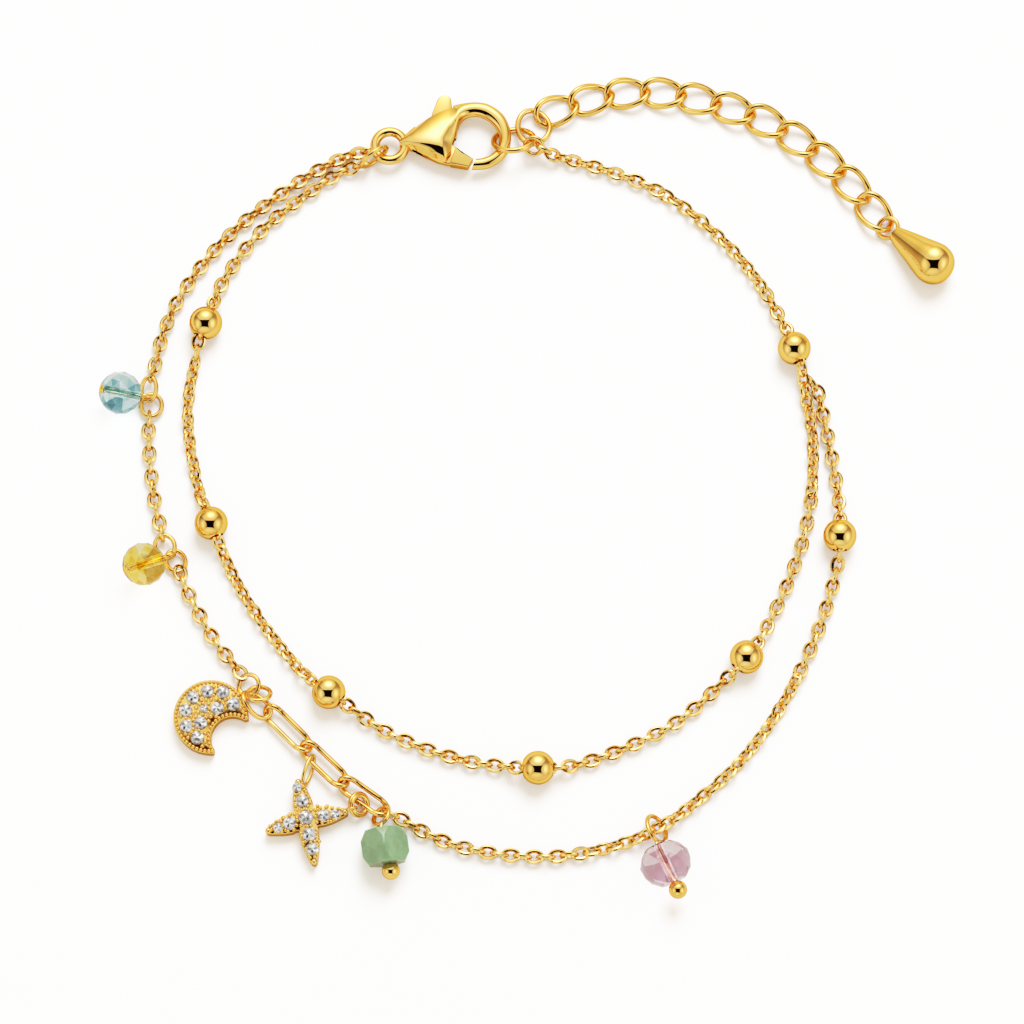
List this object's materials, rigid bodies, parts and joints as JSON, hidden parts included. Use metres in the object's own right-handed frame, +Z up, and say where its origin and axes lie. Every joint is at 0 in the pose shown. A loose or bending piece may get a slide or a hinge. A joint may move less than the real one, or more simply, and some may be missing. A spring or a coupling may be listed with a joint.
{
  "type": "charm bracelet",
  "caption": "Two-strand fine chain charm bracelet with small round beads, glass drops, a crescent and a star charm, paperclip links, a lobster clasp and an extender chain.",
  "frame": {"origin": "middle of the bracelet's underside, on the surface it lies on", "axes": "+Z up from that surface, +X toward the extender chain's drop, +Y toward the clasp"},
  "size_m": [0.0778, 0.0766, 0.0046],
  "materials": {
    "gold": "polished yellow gold plate",
    "blue_glass": "clear faceted",
    "yellow_glass": "clear faceted",
    "pink_glass": "clear faceted",
    "green_stone": "milky, cut corners"
  },
  "bodies": {
    "bracelet": {"clasp_body": "gold", "clasp_strand_ring": "gold", "clasp_jump_ring": "gold", "chain_end_ring": "gold", "extender_link_1": "gold", "extender_link_2": "gold", "extender_link_3": "gold", "extender_link_4": "gold", "extender_link_5": "gold", "extender_link_6": "gold", "extender_link_7": "gold", "extender_link_8": "gold", "extender_link_9": "gold", "extender_link_10": "gold", "extender_link_11": "gold", "extender_link_12": "gold", "end_drop": "gold", "inner_chain_left": "gold", "inner_chain_right": "gold", "shared_chain": "gold", "outer_chain_top": "gold", "outer_chain_left": "gold", "outer_chain_low": "gold", "outer_chain_right": "gold", "gold_bead_1": "gold", "gold_bead_2": "gold", "gold_bead_3": "gold", "gold_bead_4": "gold", "gold_bead_5": "gold", "gold_bead_6": "gold", "gold_bead_7": "gold", "blue_headpin": "gold", "blue_ring_upper": "gold", "blue_ring_lower": "gold", "yellow_headpin": "gold", "yellow_ring_upper": "gold", "yellow_ring_lower": "gold", "green_headpin": "gold", "pink_headpin": "gold", "paperclip_link_1": "gold", "paperclip_link_2": "gold", "paperclip_link_3": "gold", "moon_charm": "gold", "moon_ring": "gold", "oval_link": "gold", "star_charm": "gold", "star_side_ring": "gold", "blue_crystal": "blue_glass", "yellow_crystal": "yellow_glass", "green_cube": "green_stone", "pink_rondelle": "pink_glass"},
    "lever": {"clasp_lever": "gold"}
  },
  "joints": [
    {"name": "lever_hinge", "type": "hinge", "parent": "bracelet", "child": "lever", "pos_m": [-0.00796, 0.03197, 0.0013], "axis": [0, 0, 1], "range_deg": [0, 28], "stiffness_Nm_per_rad": 0.01, "springref_deg": -8.59}
  ]
}
